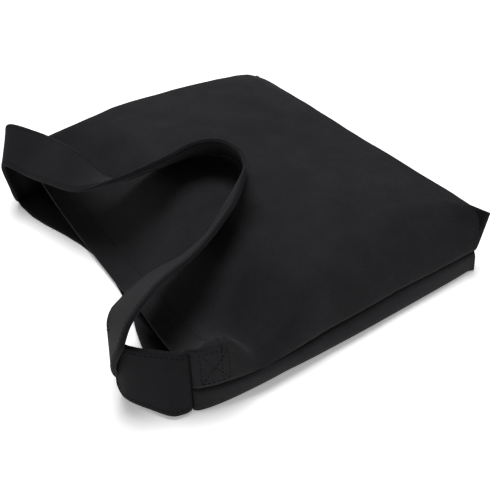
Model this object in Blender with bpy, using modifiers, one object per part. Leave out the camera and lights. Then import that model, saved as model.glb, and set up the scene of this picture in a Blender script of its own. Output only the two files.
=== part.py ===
"""A canvas sandbag lying on the floor, with a sand pouch inside and one wide shoulder strap.

Two canvas panels meet at a side seam on either side and at a bottom seam, and the bottom is boxed by a
short upright seam at each corner.  The mouth is open, with a turned hem.  The strap stands on edge where
it is tucked into the mouth's corners, folds over in front of the mouth and lies on the bag as a loop.

Lengths are in metres.  +X runs from the mouth to the bottom, +Y from the near side to the far side, +Z up.
The origin is on the floor, under the middle of the bag.
"""
import math

import bmesh
import bpy
from mathutils import Vector

for old in list(bpy.data.objects):
    bpy.data.objects.remove(old, do_unlink=True)

# Bag
BODY_LENGTH = 0.334
BODY_WIDTH = 0.400
END_HEIGHT = 0.071
CROWN_RISE = 0.006
FAR_RISE = 0.014
SIDE_SWELL = 0.015
SEAM_HEIGHT = 0.026
SAG_LENGTH = 0.125
LIP_RECESS = 0.014
FAR_LEAN = 0.020
LIP_OPENING = 0.0016
CORNER_FLAT = 0.012
EAR_REACH = 0.007
CORNER_TUCK = 0.002

# Edges of the bag
MOUTH_RADIUS = 0.003
SIDE_RADIUS = 0.026
END_RADIUS = 0.010
FLOOR_RADIUS = 0.008

# The long slope of the near side, from its seam up to the top
NEAR_LEAN = 0.066
LEAN_START = 0.052
LEAN_GROWTH = 0.140
LEAN_CLOSE = 0.060
LEAN_SHORT = 0.014
LEAN_SPACING = 1.3
LEAN_POWER = 1.15
UPRIGHT_SHARE = 0.05

# Cloth layers
PANEL_THICKNESS = 0.0012
HEM_THICKNESS = 0.0010
HEM_DEPTH = 0.025
TAPE_THICKNESS = 0.0008
TAPE_WIDTH = 0.020
CORNER_TAPE_HEIGHT = 0.040
LAYER_GAP = 0.0006
SEAM_GAP = 0.0003

# Strap
STRAP_WIDTH = 0.067
STRAP_THICKNESS = 0.003
STRAP_TUCK = 0.038
STRAP_REST = 0.0008
STRAP_CUT_GAP = 0.0014
FOLD_CUT_GAP = 0.0018
SWING_OUT = 0.030
SWING_RISE = 0.032

# Sand pouch
POUCH_LENGTH = 0.230
POUCH_THICKNESS = 0.0008
POUCH_EASE = 0.0045
POUCH_SEAM_GAP = 0.0009
POUCH_END_RADIUS = 0.018

# Places that follow from the sizes
MOUTH_X = -BODY_LENGTH / 2
END_X = BODY_LENGTH / 2
INNER_FLOOR = PANEL_THICKNESS + LAYER_GAP
CORNER_HEIGHT = STRAP_WIDTH + 2 * INNER_FLOOR
LIP_HEIGHT = 2 * (INNER_FLOOR + HEM_THICKNESS) + LIP_OPENING
STRAP_INSET = PANEL_THICKNESS + MOUTH_RADIUS + STRAP_THICKNESS / 2
STRAP_TOP = INNER_FLOOR + STRAP_WIDTH
SWING_X = MOUTH_X - SWING_OUT
SWING_Z = STRAP_TOP + SWING_RISE

# The swell of the sides peaks nearer the mouth, and the lip hangs as a power curve
SWELL_SKEW = 0.6
LIP_POWER = 2.4
FAR_START = 0.05
FULLEST_ROUND = 0.85
EAR_POWER = 10

# Cells of the grids
WALL_CELLS = 2
ARC_CELLS = 4
TOP_CELLS = 12
HEM_CELLS = 2
RUN_CELLS = 11
STRAP_CELLS_ACROSS = 4
NEAR_END_CELLS = 30
LOOP_CELLS = 42
FAR_END_CELLS = 18
CUT_SEARCH_STEPS = 40
POUCH_RUN_CELLS = 8
SIDE_CELLS = WALL_CELLS + ARC_CELLS
CELLS_ACROSS = 2 * SIDE_CELLS + TOP_CELLS

CANVAS = (0.020, 0.020, 0.022)
WEBBING = (0.024, 0.024, 0.026)
TAPE = (0.014, 0.014, 0.015)
POUCH = (0.055, 0.055, 0.058)
SAND = (0.46, 0.37, 0.25)


def clamp(value):
    return min(1.0, max(0.0, value))


def smooth(value):
    value = clamp(value)
    return value * value * (3 - 2 * value)


def body_share(x):
    """How far x lies from the mouth, 0, to the bottom, 1."""
    return clamp((x - MOUTH_X) / BODY_LENGTH)


def half_width(x):
    return BODY_WIDTH / 2 + SIDE_SWELL * math.sin(math.pi * body_share(x) ** SWELL_SKEW)


def top_height(x, y):
    """Height of the front panel, which sags to a slack lip at the mouth and crowns over the sand."""
    spread = min(1.0, abs(y) / (half_width(x) - CORNER_FLAT))
    lip = LIP_HEIGHT + (CORNER_HEIGHT - LIP_HEIGHT) * spread ** LIP_POWER
    share = body_share(x)
    edge = CORNER_HEIGHT + (END_HEIGHT - CORNER_HEIGHT) * share
    swell = math.sin(math.pi * share)
    far = smooth((y / half_width(x) + FAR_START) / (1 + FAR_START))
    full = edge + CROWN_RISE * swell * (1 - spread * spread) + FAR_RISE * math.sqrt(swell) * far
    return lip + (full - lip) * smooth((x - MOUTH_X) / SAG_LENGTH)


def settle(point):
    """Draws the slack lips back between the corners, and lets the far corner of the mouth lean in."""
    slack = 1 - smooth((point.x - MOUTH_X) / SAG_LENGTH)
    spread = point.y / half_width(point.x)
    lean = FAR_LEAN * smooth(spread) * point.z / CORNER_HEIGHT
    return point + slack * Vector((LIP_RECESS * max(0.0, 1 - spread * spread), -lean, 0.0))


def side_radius(x):
    """Rounding of the bag's upper side edge: tight at the strap, full in the middle, small at the bottom."""
    share = clamp((x - MOUTH_X - STRAP_TUCK) / (BODY_LENGTH - STRAP_TUCK))
    plain = MOUTH_RADIUS + (END_RADIUS - MOUTH_RADIUS) * share
    return plain + (SIDE_RADIUS - plain) * math.sin(math.pi * share) ** 2


def near_lean(x):
    """How far the near side leans in from its seam to the top, or 0 where it only turns a round edge."""
    grown = smooth((x - MOUTH_X - LEAN_START) / LEAN_GROWTH)
    lean = MOUTH_RADIUS + NEAR_LEAN * grown * smooth((END_X - LEAN_SHORT - x) / LEAN_CLOSE)
    return lean if lean > side_radius(x) else 0.0


def slope(step):
    """How far in and how high a step of the near slope is, after a first upright step at the seam."""
    part = (max(0, step - 1) / (SIDE_CELLS - 1)) ** LEAN_SPACING
    bulge = (1 - (1 - part) ** 2) ** (1 / LEAN_POWER)
    return part, UPRIGHT_SHARE * min(1, step) + (1 - UPRIGHT_SHARE) * bulge


def across(column, half, radius, rise, lean=0.0):
    """A line that goes up one side, over the top and down the other side.

    Gives its place, its height share, how far up the wall it is and how far it has turned over the edge.
    With a lean the first side is a long slope in place of a wall with a round edge.
    """
    radius = min(radius, FULLEST_ROUND * rise)
    mirrored = column > CELLS_ACROSS / 2
    step = CELLS_ACROSS - column if mirrored else column
    sloped = lean > 0 and not mirrored
    if sloped:
        radius = lean
    if sloped and step <= SIDE_CELLS:
        part, share = slope(step)
        place = -half + lean * part
        climb = min(1.0, step / WALL_CELLS)
        turned = climb * math.cos(math.pi / 2 * max(0, step - WALL_CELLS) / ARC_CELLS)
    elif step <= WALL_CELLS:
        place = -half
        climb = step / WALL_CELLS
        share = (1 - radius / rise) * climb
        turned = climb
    elif step <= SIDE_CELLS:
        angle = math.pi / 2 * (step - WALL_CELLS) / ARC_CELLS
        place = -half + radius * (1 - math.cos(angle))
        climb = 1.0
        share = 1 - radius / rise * (1 - math.sin(angle))
        turned = math.cos(angle)
    else:
        flat = max(CORNER_FLAT - radius, CORNER_FLAT / 2)
        place = -(half - radius - flat) * (1 - (step - SIDE_CELLS - 1) / (TOP_CELLS / 2 - 1))
        climb = 1.0
        share = 1.0
        turned = 0.0
    return (-place if mirrored else place), share, climb, turned


def end_turn(step, end, radius, rise):
    """A line that turns over an end: step 0 is on top, the last is at the seam.

    Gives its place, its height share, how far down the wall it is and how far it has turned over the edge.
    """
    radius = min(radius, FULLEST_ROUND * rise)
    if step <= ARC_CELLS:
        angle = math.pi / 2 * step / ARC_CELLS
        place = end - radius * (1 - math.sin(angle))
        return place, 1 - radius / rise * (1 - math.cos(angle)), 0.0, math.sin(angle)
    drop = (step - ARC_CELLS) / WALL_CELLS
    return end, (1 - radius / rise) * (1 - drop), drop, 1 - drop


def boxed(x, y, climb, side_turned, drop, end_turned):
    """Draws the two walls of a boxed corner in a little where they meet between its tips."""
    x -= CORNER_TUCK * end_turned * (1 - climb)
    return x, y - math.copysign(CORNER_TUCK * drop * side_turned, y)


def run_lines(end, radius):
    """Distances along the bag at which the panels have a line, from the mouth to where the end turns."""
    hem = [MOUTH_X + HEM_DEPTH * cell / HEM_CELLS for cell in range(HEM_CELLS)]
    start = MOUTH_X + HEM_DEPTH
    reach = end - radius - start
    return hem + [start + reach * cell / RUN_CELLS for cell in range(RUN_CELLS + 1)]


def between_lines(size, lines, x):
    """A size at x on the panel, which is straight between the lines at which the size is taken."""
    after = next(number for number, line in enumerate(lines) if line >= x)
    before = max(0, after - 1)
    share = (x - lines[before]) / max(SEAM_GAP, lines[after] - lines[before])
    return size(lines[before]) + (size(lines[after]) - size(lines[before])) * share


def ear(x_share, y_share, share):
    """How far the boxed corner stands out, which is most at the upper and lower tips of its seam."""
    return EAR_REACH * (x_share * y_share) ** EAR_POWER * share


def front_point(row, column, depth=0.0):
    """A point of the front panel's outer face, or of a layer that lies depth inside it."""
    lines = run_lines(END_X - depth, END_RADIUS)
    rise = END_HEIGHT - depth - SEAM_HEIGHT
    step = max(0, row - len(lines) + 1)
    x, end_share, drop, end_turned = end_turn(step, END_X - depth, END_RADIUS, rise)
    if step == 0:
        x = lines[row]
    half = half_width(x) - depth
    side_rise = top_height(x, half) - depth - SEAM_HEIGHT
    y, share, climb, side_turned = across(column, half, side_radius(x), side_rise, near_lean(x))
    lift = (top_height(x, y) - depth - SEAM_HEIGHT - SEAM_GAP / 2) * share * end_share
    out = ear(body_share(x), abs(y) / half, share * end_share)
    x, y = boxed(x, y, climb, side_turned, drop, end_turned)
    return settle(Vector((x + out, y + math.copysign(out, y), SEAM_HEIGHT + SEAM_GAP / 2 + lift)))


def back_point(row, column, depth=0.0):
    """A point of the back panel's outer face, flat on the floor with its sides turned up to the seam."""
    lines = run_lines(END_X - depth, FLOOR_RADIUS)
    fall = SEAM_HEIGHT - SEAM_GAP / 2 - depth
    step = max(0, row - len(lines) + 1)
    x, end_share, drop, end_turned = end_turn(step, END_X - depth, FLOOR_RADIUS, fall)
    if step == 0:
        x = lines[row]
    half = half_width(x) - depth
    radius = MOUTH_RADIUS + (FLOOR_RADIUS - MOUTH_RADIUS) * smooth((x - MOUTH_X - STRAP_TUCK) / STRAP_TUCK)
    y, share, climb, side_turned = across(CELLS_ACROSS - column, half, radius, fall)
    out = ear(body_share(x), abs(y) / half, share * end_share)
    x, y = boxed(x, y, climb, side_turned, drop, end_turned)
    height = SEAM_HEIGHT - SEAM_GAP / 2 - fall * share * end_share
    return settle(Vector((x + out, y + math.copysign(out, y), height)))


LAST_ROW = HEM_CELLS + RUN_CELLS + ARC_CELLS + WALL_CELLS


def new_collection(name):
    collection = bpy.data.collections.new(name)
    bpy.context.scene.collection.children.link(collection)
    return collection


def finish(name, colour, roughness):
    material = bpy.data.materials.new(name)
    material.use_nodes = True
    shader = material.node_tree.nodes["Principled BSDF"]
    shader.inputs["Base Color"].default_value = (*colour, 1.0)
    shader.inputs["Roughness"].default_value = roughness
    shader.inputs["Metallic"].default_value = 0.0
    return material


def grid_mesh(name, rows, columns, place):
    """A grid whose points are moved to place(row, column), with its face to the side of row times column."""
    shape = bmesh.new()
    bmesh.ops.create_grid(shape, x_segments=rows, y_segments=columns, size=0.5)
    for vert in shape.verts:
        row = round((vert.co.x + 0.5) * rows)
        column = round((vert.co.y + 0.5) * columns)
        vert.co = place(row, column)
    mesh = bpy.data.meshes.new(name)
    shape.to_mesh(mesh)
    shape.free()
    mesh.shade_smooth()
    return mesh


def add_sheet(name, rows, columns, place, thickness, material, offset=-1.0):
    """A cloth piece: a grid with Solidify, which thickens it inwards, or evenly for the strap."""
    sheet = bpy.data.objects.new(name, grid_mesh(name, rows, columns, place))
    PARTS.objects.link(sheet)
    sheet.data.materials.append(material)
    wall = sheet.modifiers.new("Thickness", "SOLIDIFY")
    wall.thickness = thickness
    wall.offset = offset
    wall.use_even_offset = True
    return sheet


def add_panels():
    add_sheet("front_panel", LAST_ROW, CELLS_ACROSS, front_point, PANEL_THICKNESS, CANVAS_FINISH)
    add_sheet("back_panel", LAST_ROW, CELLS_ACROSS, back_point, PANEL_THICKNESS, CANVAS_FINISH)


def add_mouth_hems():
    """The turned hem inside each lip, between the strap's tucked ends."""
    first = SIDE_CELLS + 1

    def front_hem(row, column):
        return front_point(row, first + column, INNER_FLOOR)

    def back_hem(row, column):
        return back_point(row, first + column, INNER_FLOOR)

    add_sheet("front_mouth_hem", HEM_CELLS, TOP_CELLS - 2, front_hem, HEM_THICKNESS, CANVAS_FINISH)
    add_sheet("back_mouth_hem", HEM_CELLS, TOP_CELLS - 2, back_hem, HEM_THICKNESS, CANVAS_FINISH)


def add_side_tapes():
    """The tape that binds each side seam inside, from the strap's tucked end to the boxed corner.

    The near tape is folded at the seam, because its upper half lies along the near slope.
    """
    lines = run_lines(END_X, END_RADIUS)
    stations = [MOUTH_X + STRAP_TUCK + LAYER_GAP] + lines[HEM_CELLS + 1:-1] + [END_X - TAPE_WIDTH]
    leg = TAPE_WIDTH / 2
    part, share = slope(2)
    for side, name in ((-1, "near_side_tape"), (1, "far_side_tape")):

        def tape(row, column):
            x = stations[row]
            climb = -side * leg * (column - 1)
            rise = top_height(x, side * half_width(x)) - SEAM_HEIGHT
            reach = between_lines(near_lean, lines, x) if side < 0 else 0.0
            lean = reach * part / ((share - UPRIGHT_SHARE) * rise)
            inset = INNER_FLOOR * math.hypot(1, lean) + lean * max(0.0, climb - UPRIGHT_SHARE * rise)
            return settle(Vector((x, side * (half_width(x) - inset), SEAM_HEIGHT + climb)))

        add_sheet(name, RUN_CELLS, 2, tape, TAPE_THICKNESS, TAPE_FINISH)


def add_bottom_tapes():
    """The tape along the bottom seam, and the folded tape on the upright seam in each boxed corner."""
    wall = END_X - INNER_FLOOR
    half = half_width(END_X) - TAPE_WIDTH

    def bottom(row, column):
        return Vector((wall, half * (1 - 2 * row / TOP_CELLS), SEAM_HEIGHT - TAPE_WIDTH * (column - 0.5)))

    add_sheet("bottom_tape", TOP_CELLS, 1, bottom, TAPE_THICKNESS, TAPE_FINISH)
    tuck = INNER_FLOOR + CORNER_TUCK / 4
    corner = half_width(END_X) - tuck
    leg = TAPE_WIDTH / 2
    middle = END_HEIGHT / 2
    for side, name in ((-1, "near_corner_tape"), (1, "far_corner_tape")):

        def folded(row, column):
            x = END_X - tuck - leg * (1 - min(1, row))
            y = side * (corner - leg * max(0, row - 1))
            return Vector((x, y, middle - side * CORNER_TAPE_HEIGHT * (column - 0.5)))

        add_sheet(name, 2, 1, folded, TAPE_THICKNESS, TAPE_FINISH)


def pouch_point(row, column, side, ease, floor, gap):
    """A point of the upper (side 1) or lower (side -1) half of a pillow that clears the bag's walls."""
    turn = ARC_CELLS + WALL_CELLS
    end = END_X - ease
    start = END_X - POUCH_LENGTH + ease
    rise = END_HEIGHT - ease - SEAM_HEIGHT
    if row <= turn:
        x, end_share, drop, end_turned = end_turn(turn - row, -start, POUCH_END_RADIUS, rise)
        x = -x
    else:
        step = max(0, row - turn - POUCH_RUN_CELLS)
        x, end_share, drop, end_turned = end_turn(step, end, POUCH_END_RADIUS, rise)
        reach = end - start - 2 * POUCH_END_RADIUS
        x -= reach * max(0, turn + POUCH_RUN_CELLS - row) / POUCH_RUN_CELLS
    half = half_width(x) - ease
    radius = max(side_radius(x), POUCH_END_RADIUS)
    lean = max(near_lean(x), POUCH_END_RADIUS) if side > 0 else 0.0
    side_rise = top_height(x, half) - ease - SEAM_HEIGHT
    seam_y = across(column, half, radius, side_rise)[0]
    y, share, climb, side_turned = across(column, half, radius, side_rise, lean)
    y += (seam_y - y) * drop
    if row <= turn:
        x, y = boxed(-x, y, climb, side_turned, drop, end_turned)
        x = -x
    else:
        x, y = boxed(x, y, climb, side_turned, drop, end_turned)
    if side > 0:
        height = top_height(x, y) - ease - SEAM_HEIGHT - gap
        return settle(Vector((x, y, SEAM_HEIGHT + gap + height * share * end_share)))
    return settle(Vector((x, y, SEAM_HEIGHT - gap - (SEAM_HEIGHT - gap - floor) * share * end_share)))


def add_pouch():
    """The sealed pouch, as its upper and lower film, and the sand that fills it."""
    rows = 2 * (ARC_CELLS + WALL_CELLS) + POUCH_RUN_CELLS
    gap = POUCH_SEAM_GAP / 2

    def upper(row, column):
        return pouch_point(row, column, 1, POUCH_EASE, INNER_FLOOR, gap)

    def lower(row, column):
        return pouch_point(row, CELLS_ACROSS - column, -1, POUCH_EASE, INNER_FLOOR, gap)

    add_sheet("pouch_upper", rows, CELLS_ACROSS, upper, POUCH_THICKNESS, POUCH_FINISH)
    add_sheet("pouch_lower", rows, CELLS_ACROSS, lower, POUCH_THICKNESS, POUCH_FINISH)
    ease = POUCH_EASE + POUCH_THICKNESS + LAYER_GAP
    floor = INNER_FLOOR + POUCH_THICKNESS + LAYER_GAP

    def sand_top(row, column):
        return pouch_point(row, column, 1, ease, floor, 0.0)

    def sand_underside(row, column):
        return pouch_point(row, CELLS_ACROSS - column, -1, ease, floor, 0.0)

    shape = bmesh.new()
    for name, place in (("sand_top", sand_top), ("sand_underside", sand_underside)):
        half = grid_mesh(name, rows, CELLS_ACROSS, place)
        shape.from_mesh(half)
        bpy.data.meshes.remove(half)
    bmesh.ops.remove_doubles(shape, verts=shape.verts, dist=SEAM_GAP / 10)
    mesh = bpy.data.meshes.new("sand_fill")
    shape.to_mesh(mesh)
    shape.free()
    mesh.shade_smooth()
    mesh.materials.append(SAND_FINISH)
    PARTS.objects.link(bpy.data.objects.new("sand_fill", mesh))


# Where the strap runs: each station is its upper or far edge, as the distance out of the mouth, the share
# of half the body's width towards the far side, and the height above the strap's top at the mouth, and then
# the direction across the strap to its other edge, in strap widths: the near curl is folded on the slant and
# spans less.  The first and last stations lie inside the bag, along its wall.
UPRIGHT = (0.0, 0.0, -1.0)
NEAR_TAIL = (
    ((0.011, -0.970, 0.000), UPRIGHT),
    ((0.023, -0.925, 0.000), UPRIGHT),
    ((0.032, -0.860, 0.000), UPRIGHT),
    ((0.036, -0.805, 0.000), (-0.03, -0.04, -1.00)),
    ((0.035, -0.745, 0.000), (-0.12, -0.08, -0.99)),
)
NEAR_CURL = (
    ((0.034, -0.665, 0.003), (-0.21, -0.25, -0.85)),
    ((0.032, -0.660, 0.014), (-0.29, -0.57, -0.44)),
    ((0.021, -0.615, 0.015), (-0.41, -0.91, -0.06)),
)
LOOP = (
    ((0.005, -0.570, 0.009), (-0.46, -0.86, 0.22)),
    ((-0.009, -0.535, 0.009), (-0.32, -0.87, 0.37)),
    ((-0.065, -0.475, 0.009), (-0.40, -0.81, 0.43)),
    ((-0.133, -0.265, 0.010), (-0.43, -0.78, 0.45)),
    ((-0.176, -0.045, 0.010), (-0.45, -0.77, 0.45)),
    ((-0.180, 0.040, 0.010), (-0.44, -0.64, 0.63)),
    ((-0.172, 0.145, 0.010), (-0.44, -0.60, 0.66)),
    ((-0.145, 0.220, 0.010), (-0.37, -0.67, 0.64)),
    ((-0.105, 0.220, 0.009), (-0.40, -0.73, 0.56)),
    ((-0.055, 0.375, 0.011), (-0.29, -0.92, 0.25)),
    ((-0.035, 0.560, 0.011), (-0.36, -0.93, -0.08)),
    ((-0.030, 0.800, 0.013), (-0.51, -0.83, -0.23)),
    ((-0.019, 0.935, 0.014), (-0.47, -0.83, -0.31)),
)
FAR_FOLD = (
    ((0.001, 1.065, 0.017), (-0.42, -0.70, -0.34)),
    ((0.006, 1.050, 0.008), (-0.28, -0.56, -0.78)),
)
FAR_TAIL = (
    ((0.008, 0.985, 0.000), (-0.13, -0.12, -0.98)),
    ((0.007, 0.910, 0.000), (-0.04, 0.18, -0.98)),
)


def tucked(side, reach):
    """A strap station inside the bag, standing against the side wall."""
    x = MOUTH_X + reach
    y = side * (half_width(x) - STRAP_INSET)
    edge = settle(Vector((x, y, STRAP_TOP)))
    return edge, (settle(Vector((x, y, INNER_FLOOR))) - edge).normalized()


def free_station(place, direction):
    out, share, lift = place
    x = MOUTH_X - out
    y = share * BODY_WIDTH / 2
    height = STRAP_TOP + lift
    if out < 0:
        height = max(height, top_height(x, y) + STRAP_THICKNESS / 2 + STRAP_REST)
    return Vector((x, y, height)), Vector(direction)


def strap_stations():
    near = [tucked(-1, STRAP_TUCK), tucked(-1, STRAP_TUCK / 2), tucked(-1, 0.0)]
    far = [tucked(1, 0.0), tucked(1, STRAP_TUCK / 2), tucked(1, STRAP_TUCK)]
    return near + [free_station(*row) for row in NEAR_TAIL + NEAR_CURL + LOOP + FAR_FOLD + FAR_TAIL] + far


def curve_point(points, along):
    """A smooth curve through points, read at a station number that may fall between two stations."""
    first = min(len(points) - 2, max(0, int(along)))
    part = along - first
    before = points[max(0, first - 1)]
    start = points[first]
    end = points[first + 1]
    after = points[min(len(points) - 1, first + 2)]
    pull = (end - before) / 2
    push = (after - start) / 2
    square = part * part
    cube = square * part
    return ((2 * cube - 3 * square + 1) * start + (cube - 2 * square + part) * pull
            + (3 * square - 2 * cube) * end + (cube - square) * push)


STATIONS = strap_stations()
STRAP_EDGE = [edge for edge, direction in STATIONS]
STRAP_TURN = [direction.normalized() for edge, direction in STATIONS]
STRAP_SPAN = [Vector((STRAP_WIDTH * direction.length, 0.0, 0.0)) for edge, direction in STATIONS]
NEAR_CURL_START = 2 + len(NEAR_TAIL)
FAR_CUT = 3 + len(NEAR_TAIL + NEAR_CURL + LOOP)


def strap_point(along, share):
    """A point of the strap's middle layer: share 0 is the upper or far edge, 1 the other edge."""
    turn = curve_point(STRAP_TURN, along).normalized()
    return curve_point(STRAP_EDGE, along) + turn * curve_point(STRAP_SPAN, along).x * share


def near_cut(share, x):
    """The station number at which a line along the strap comes back over x, between its curl and its loop."""
    low = NEAR_CURL_START
    high = NEAR_CURL_START + len(NEAR_CURL) + 2
    for _ in range(CUT_SEARCH_STEPS):
        middle = (low + high) / 2
        if strap_point(middle, share).x < x:
            low = middle
        else:
            high = middle
    return low


def add_strap_piece(name, cells, start, end):
    """A stretch of the strap between two cuts, which give the station number at each share of its width."""

    def ribbon(row, column):
        share = column / STRAP_CELLS_ACROSS
        first = start(share)
        return strap_point(first + (end(share) - first) * row / cells, share)

    return add_sheet(name, cells, STRAP_CELLS_ACROSS, ribbon, STRAP_THICKNESS, STRAP_FINISH, offset=0.0)


def add_strap():
    """The strap's two sewn ends, and the free loop that swings about the line of the two folds."""
    gap = STRAP_CUT_GAP / 2
    fold_step = (STRAP_EDGE[FAR_CUT + 1] - STRAP_EDGE[FAR_CUT]).length
    last = len(STATIONS) - 1

    def sewn_start(share):
        return 0.0

    def near_stop(share):
        return near_cut(share, SWING_X - gap)

    def loop_start(share):
        return near_cut(share, SWING_X + gap)

    def loop_stop(share):
        return FAR_CUT - FOLD_CUT_GAP / 2 / fold_step

    def far_start(share):
        return FAR_CUT + FOLD_CUT_GAP / 2 / fold_step

    def sewn_stop(share):
        return last

    add_strap_piece("near_strap_end", NEAR_END_CELLS, sewn_start, near_stop)
    add_strap_piece("far_strap_end", FAR_END_CELLS, far_start, sewn_stop)
    loop = add_strap_piece("strap_loop", LOOP_CELLS, loop_start, loop_stop)
    axis = bpy.data.objects.new("strap_swing_axis", None)
    axis.location = (SWING_X, 0.0, SWING_Z)
    PARTS.objects.link(axis)
    loop.parent = axis
    loop.location = -axis.location


PARTS = new_collection("sandbag")
CANVAS_FINISH = finish("canvas", CANVAS, 0.9)
TAPE_FINISH = finish("seam_tape", TAPE, 0.85)
STRAP_FINISH = finish("strap_canvas", WEBBING, 0.9)
POUCH_FINISH = finish("pouch_film", POUCH, 0.5)
SAND_FINISH = finish("sand", SAND, 1.0)
add_panels()
add_mouth_hems()
add_side_tapes()
add_bottom_tapes()
add_pouch()
add_strap()
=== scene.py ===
# %% [markdown]
# A black canvas sandbag
#
# The bag lies flat on a white floor, seen from above its near mouth corner. It is two panels of heavy
# cotton sewn together, with a slack open mouth, boxed corners at its bottom, a pouch of sand inside and
# one wide strap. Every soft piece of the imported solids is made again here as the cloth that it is.

# %% Load the frame
import math

import bpy
import numpy as np
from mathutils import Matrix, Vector, noise


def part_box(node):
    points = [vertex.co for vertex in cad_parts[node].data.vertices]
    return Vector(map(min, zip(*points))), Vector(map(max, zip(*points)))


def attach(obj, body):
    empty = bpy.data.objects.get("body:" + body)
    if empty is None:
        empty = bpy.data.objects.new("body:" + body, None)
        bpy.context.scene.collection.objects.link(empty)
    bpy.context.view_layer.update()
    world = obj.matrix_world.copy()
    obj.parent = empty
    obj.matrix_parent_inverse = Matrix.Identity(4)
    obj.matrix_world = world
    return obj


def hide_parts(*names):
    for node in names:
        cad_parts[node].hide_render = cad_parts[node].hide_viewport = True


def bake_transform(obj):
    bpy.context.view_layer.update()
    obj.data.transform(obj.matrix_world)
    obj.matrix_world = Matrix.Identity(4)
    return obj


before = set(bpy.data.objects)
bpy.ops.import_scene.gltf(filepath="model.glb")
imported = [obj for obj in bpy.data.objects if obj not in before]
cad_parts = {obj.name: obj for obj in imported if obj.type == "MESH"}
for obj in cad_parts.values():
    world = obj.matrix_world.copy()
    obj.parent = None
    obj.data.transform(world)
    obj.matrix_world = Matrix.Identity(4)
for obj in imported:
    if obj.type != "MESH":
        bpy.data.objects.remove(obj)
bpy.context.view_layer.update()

# %% [markdown]
# Sizes come first, in metres. +X runs from the mouth to the bottom, +Y from the near side to the far side
# and +Z up, with the floor at height 0. The place of the mouth is read from the lower panel's solid, and
# the other sizes are real ones.

# %% Sizes of the bag
PANEL_LOW, PANEL_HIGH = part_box("back_panel")
BODY_LENGTH = 0.334
BODY_WIDTH = 0.400
MOUTH_X = round(PANEL_LOW[0], 4)
END_X = MOUTH_X + BODY_LENGTH
END_HEIGHT = 0.071
CROWN_RISE = 0.006
SIDE_SWELL = 0.015
SEAM_HEIGHT = 0.026
SAG_LENGTH = 0.115
LIP_RECESS = 0.014
FAR_LEAN = 0.020
NEAR_CORNER_HEIGHT = 0.0668
FAR_CORNER_HEIGHT = 0.0706
LIP_HEIGHT = 0.0072
CORNER_FLAT = 0.012
CANVAS_THICKNESS = 0.0012
STRAP_TUCK = 0.030
print("lower panel", [round(v, 3) for v in (*PANEL_LOW, *PANEL_HIGH)])

# %% [markdown]
# A finish is a tree of nodes: a pattern is made, turned into tones and joined to the shader. It could be
# wired by hand in the shader editor. These helpers add one step each, so that a finish reads as a recipe.

# %% Helpers for finishes
WAVE_TURN = math.tau / 20


def link(tree, source, output, target, socket):
    tree.links.new(source.outputs[output], target.inputs[socket])


def new_node(tree, kind, **values):
    node = tree.nodes.new(kind)
    for name, value in values.items():
        setattr(node, name, value)
    return node


def bands(tree, coords, spacing, angle):
    """Even stripes across the cloth, one every spacing, turned by angle."""
    turn = new_node(tree, "ShaderNodeMapping")
    turn.inputs["Rotation"].default_value = (0.0, 0.0, angle)
    wave = new_node(tree, "ShaderNodeTexWave", wave_type="BANDS", bands_direction="X", wave_profile="SIN")
    wave.inputs["Scale"].default_value = WAVE_TURN / spacing
    wave.inputs["Distortion"].default_value = 0.0
    link(tree, coords, "UV", turn, "Vector")
    link(tree, turn, "Vector", wave, "Vector")
    return wave


def combine(tree, operation, first, first_out, second, second_out):
    node = new_node(tree, "ShaderNodeMath", operation=operation)
    link(tree, first, first_out, node, 0)
    link(tree, second, second_out, node, 1)
    return node


def speckle(tree, coords, output, scale, detail):
    node = new_node(tree, "ShaderNodeTexNoise")
    node.inputs["Scale"].default_value = scale
    node.inputs["Detail"].default_value = detail
    node.inputs["Roughness"].default_value = 0.6
    link(tree, coords, output, node, "Vector")
    return node


def colour_ramp(tree, source, output, stops):
    ramp = new_node(tree, "ShaderNodeValToRGB")
    ramp.color_ramp.elements[0].position = stops[0][0]
    ramp.color_ramp.elements[0].color = (*stops[0][1], 1.0)
    ramp.color_ramp.elements[1].position = stops[-1][0]
    ramp.color_ramp.elements[1].color = (*stops[-1][1], 1.0)
    for place, colour in stops[1:-1]:
        ramp.color_ramp.elements.new(place).color = (*colour, 1.0)
    link(tree, source, output, ramp, "Fac")
    return ramp


# %% [markdown]
# Black cotton isn't one flat colour. The yarns run over and under each other in a diagonal twill, so the
# cloth has fine slanted ribs, and lint and wear make it paler in places. A picture of cloth would repeat
# itself. Waves and noise don't, and they read a UV map that is laid out in metres along the cloth, so the
# ribs follow the folds.

# %% Woven finishes
RIB_SPACING = 0.0020
STRAP_RIB_SPACING = 0.0013
TAPE_RIB_SPACING = 0.0016
YARN_SPACING = 0.0009
WEAVE_HEIGHT = 0.0004
TONE_SCALE = 26.0
LINT_SCALE = 900.0
WEAVE_TONE = 0.08
LINT_HEIGHT = 0.6


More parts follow.
